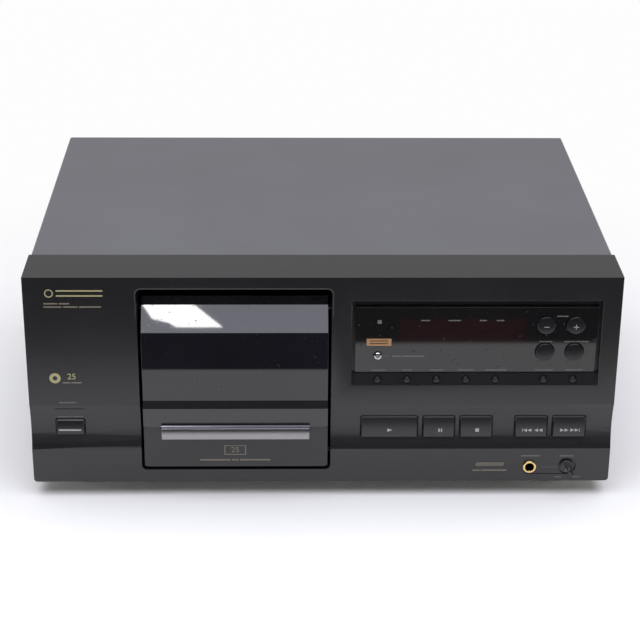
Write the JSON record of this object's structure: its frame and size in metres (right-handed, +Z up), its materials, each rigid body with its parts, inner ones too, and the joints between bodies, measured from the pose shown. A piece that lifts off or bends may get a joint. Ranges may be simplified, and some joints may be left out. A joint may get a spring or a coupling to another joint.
{
  "type": "multi disc cd changer",
  "caption": "Full-width hi-fi disc changer with a lifting hood over a turning upright disc rack, a display block, keys, a headphone jack and a level knob.",
  "frame": {"origin": "under the middle of the casing, on the surface that the feet stand on", "axes": "+X to the right as seen by the user, +Y from the fascia to the back, +Z up"},
  "size_m": [0.42, 0.3222, 0.1737],
  "materials": {
    "cover_paint": "satin",
    "chassis_steel": "zinc plated",
    "fascia_black": "satin",
    "smoked_pane": "gloss",
    "handle_metal": "satin anodised",
    "key_black": "satin",
    "knob_black": "satin",
    "gold": "gold plated",
    "jack_plastic": "matte",
    "board_green": "laminate",
    "tube_glass": "gloss",
    "lens_red": "gloss",
    "foot_plastic": "satin",
    "rubber": "matte",
    "screw_steel": "plated",
    "rack_plastic": "matte",
    "gear_plastic": "satin",
    "transformer_iron": "varnished"
  },
  "bodies": {
    "root": {"top_cover": "cover_paint", "chassis_pan": "chassis_steel", "rear_panel": "chassis_steel", "front_panel": "fascia_black", "feet": "foot_plastic", "foot_pads": "rubber", "foot_screws": "screw_steel", "cabinet_screws": "screw_steel", "display_window": "smoked_pane", "display_tube": "tube_glass", "display_board": "board_green", "key_boards": "board_green", "standby_lens": "lens_red", "jack_ring": "gold", "headphone_jack": "jack_plastic", "level_pot": "jack_plastic", "carousel_post": "screw_steel", "carousel_motor": "screw_steel", "drive_belt": "rubber", "mech_frame": "chassis_steel", "clamp_bracket": "chassis_steel", "guide_rods": "screw_steel", "spindle_motor": "screw_steel", "main_board": "board_green", "power_transformer": "transformer_iron", "line_out_jacks": "gold", "cord_gland": "jack_plastic"},
    "hood": {"hood_window": "smoked_pane", "hood_panel": "fascia_black", "hood_handle": "handle_metal", "hood_carrier": "fascia_black"},
    "rack": {"carousel_rack": "rack_plastic", "carousel_gear": "gear_plastic"},
    "drive_gear": {"drive_gear": "gear_plastic"},
    "motor_pulley": {"motor_pulley": "gear_plastic"},
    "level_knob": {"level_knob": "knob_black"},
    "turntable": {"turntable": "gear_plastic"},
    "clamp_arm": {"clamp_arm": "gear_plastic"},
    "clamper": {"clamper": "gear_plastic"},
    "pickup_sled": {"pickup_sled": "gear_plastic"},
    "sled_gear": {"sled_gear": "gear_plastic"},
    "loading_lever": {"loading_lever": "gear_plastic"},
    "power_key": {"power_key": "key_black"},
    "play_key": {"play_key": "key_black"},
    "pause_key": {"pause_key": "key_black"},
    "stop_key": {"stop_key": "key_black"},
    "previous_key": {"previous_key": "key_black"},
    "next_key": {"next_key": "key_black"},
    "disc_minus_key": {"disc_minus_key": "key_black"},
    "disc_plus_key": {"disc_plus_key": "key_black"},
    "select_key": {"select_key": "key_black"},
    "program_key": {"program_key": "key_black"},
    "title_key": {"title_key": "key_black"},
    "small_key_1": {"small_key_1": "key_black"},
    "small_key_2": {"small_key_2": "key_black"},
    "small_key_3": {"small_key_3": "key_black"},
    "small_key_4": {"small_key_4": "key_black"},
    "small_key_5": {"small_key_5": "key_black"},
    "small_key_6": {"small_key_6": "key_black"},
    "small_key_7": {"small_key_7": "key_black"}
  },
  "joints": [
    {"name": "hood_swing", "type": "hinge", "parent": "root", "child": "hood", "pos_m": [-0.0625, -0.1301, 0.1425], "axis": [-1, 0, 0], "range_deg": [0, 78]},
    {"name": "rack_spin", "type": "hinge", "parent": "root", "child": "rack", "pos_m": [-0.0625, 0.002, 0.04], "axis": [0, 0, 1], "continuous": true},
    {"name": "drive_gear_spin", "type": "hinge", "parent": "root", "child": "drive_gear", "pos_m": [0.05256, -0.09455, 0.02], "axis": [0, 0, 1], "continuous": true},
    {"name": "motor_spin", "type": "hinge", "parent": "root", "child": "motor_pulley", "pos_m": [0.10406, -0.09455, 0.03], "axis": [0, 0, 1], "continuous": true},
    {"name": "level_turn", "type": "hinge", "parent": "root", "child": "level_knob", "pos_m": [0.179, -0.1521, 0.0241], "axis": [0, -1, 0], "range_deg": [0, 270]},
    {"name": "turntable_spin", "type": "hinge", "parent": "root", "child": "turntable", "pos_m": [0.138, 0.005, 0.0867], "axis": [0, -1, 0], "continuous": true},
    {"name": "clamp_swing", "type": "hinge", "parent": "root", "child": "clamp_arm", "pos_m": [0.192, -0.006, 0.0867], "axis": [0, 0, 1], "range_deg": [0, 8], "stiffness_Nm_per_rad": 0.05},
    {"name": "clamper_spin", "type": "hinge", "parent": "clamp_arm", "child": "clamper", "pos_m": [0.138, -0.004, 0.0867], "axis": [0, -1, 0], "continuous": true},
    {"name": "sled_slide", "type": "slide", "parent": "root", "child": "pickup_sled", "axis": [0, 0, 1], "range_m": [0, 0.03456]},
    {"name": "sled_gear_spin", "type": "hinge", "parent": "root", "child": "sled_gear", "pos_m": [0.17435, 0.0145, 0.113], "axis": [0, 1, 0], "range_deg": [-1, 200]},
    {"name": "lever_swing", "type": "hinge", "parent": "root", "child": "loading_lever", "pos_m": [0.146, 0.005, 0.022], "axis": [0, 1, 0], "range_deg": [0, 22]},
    {"name": "power_key_press", "type": "slide", "parent": "root", "child": "power_key", "axis": [0, 1, 0], "range_m": [0, 0.0012], "stiffness_N_per_m": 400},
    {"name": "play_key_press", "type": "slide", "parent": "root", "child": "play_key", "axis": [0, 1, 0], "range_m": [0, 0.0012], "stiffness_N_per_m": 400},
    {"name": "pause_key_press", "type": "slide", "parent": "root", "child": "pause_key", "axis": [0, 1, 0], "range_m": [0, 0.0012], "stiffness_N_per_m": 400},
    {"name": "stop_key_press", "type": "slide", "parent": "root", "child": "stop_key", "axis": [0, 1, 0], "range_m": [0, 0.0012], "stiffness_N_per_m": 400},
    {"name": "previous_key_press", "type": "slide", "parent": "root", "child": "previous_key", "axis": [0, 1, 0], "range_m": [0, 0.0012], "stiffness_N_per_m": 400},
    {"name": "next_key_press", "type": "slide", "parent": "root", "child": "next_key", "axis": [0, 1, 0], "range_m": [0, 0.0012], "stiffness_N_per_m": 400},
    {"name": "disc_minus_key_press", "type": "slide", "parent": "root", "child": "disc_minus_key", "axis": [0, 1, 0], "range_m": [0, 0.0012], "stiffness_N_per_m": 400},
    {"name": "disc_plus_key_press", "type": "slide", "parent": "root", "child": "disc_plus_key", "axis": [0, 1, 0], "range_m": [0, 0.0012], "stiffness_N_per_m": 400},
    {"name": "select_key_press", "type": "slide", "parent": "root", "child": "select_key", "axis": [0, 1, 0], "range_m": [0, 0.0012], "stiffness_N_per_m": 400},
    {"name": "program_key_press", "type": "slide", "parent": "root", "child": "program_key", "axis": [0, 1, 0], "range_m": [0, 0.0012], "stiffness_N_per_m": 400},
    {"name": "title_key_press", "type": "slide", "parent": "root", "child": "title_key", "axis": [0, 1, 0], "range_m": [0, 0.0012], "stiffness_N_per_m": 400},
    {"name": "small_key_1_press", "type": "slide", "parent": "root", "child": "small_key_1", "axis": [0, 1, 0], "range_m": [0, 0.0012], "stiffness_N_per_m": 400},
    {"name": "small_key_2_press", "type": "slide", "parent": "root", "child": "small_key_2", "axis": [0, 1, 0], "range_m": [0, 0.0012], "stiffness_N_per_m": 400},
    {"name": "small_key_3_press", "type": "slide", "parent": "root", "child": "small_key_3", "axis": [0, 1, 0], "range_m": [0, 0.0012], "stiffness_N_per_m": 400},
    {"name": "small_key_4_press", "type": "slide", "parent": "root", "child": "small_key_4", "axis": [0, 1, 0], "range_m": [0, 0.0012], "stiffness_N_per_m": 400},
    {"name": "small_key_5_press", "type": "slide", "parent": "root", "child": "small_key_5", "axis": [0, 1, 0], "range_m": [0, 0.0012], "stiffness_N_per_m": 400},
    {"name": "small_key_6_press", "type": "slide", "parent": "root", "child": "small_key_6", "axis": [0, 1, 0], "range_m": [0, 0.0012], "stiffness_N_per_m": 400},
    {"name": "small_key_7_press", "type": "slide", "parent": "root", "child": "small_key_7", "axis": [0, 1, 0], "range_m": [0, 0.0012], "stiffness_N_per_m": 400}
  ],
  "couplings": [
    {"joint": "drive_gear_spin", "follows": "rack_spin", "ratio": -9},
    {"joint": "motor_spin", "follows": "rack_spin", "ratio": -20.887},
    {"joint": "sled_gear_spin", "follows": "sled_slide", "rad_per_m": 100}
  ]
}
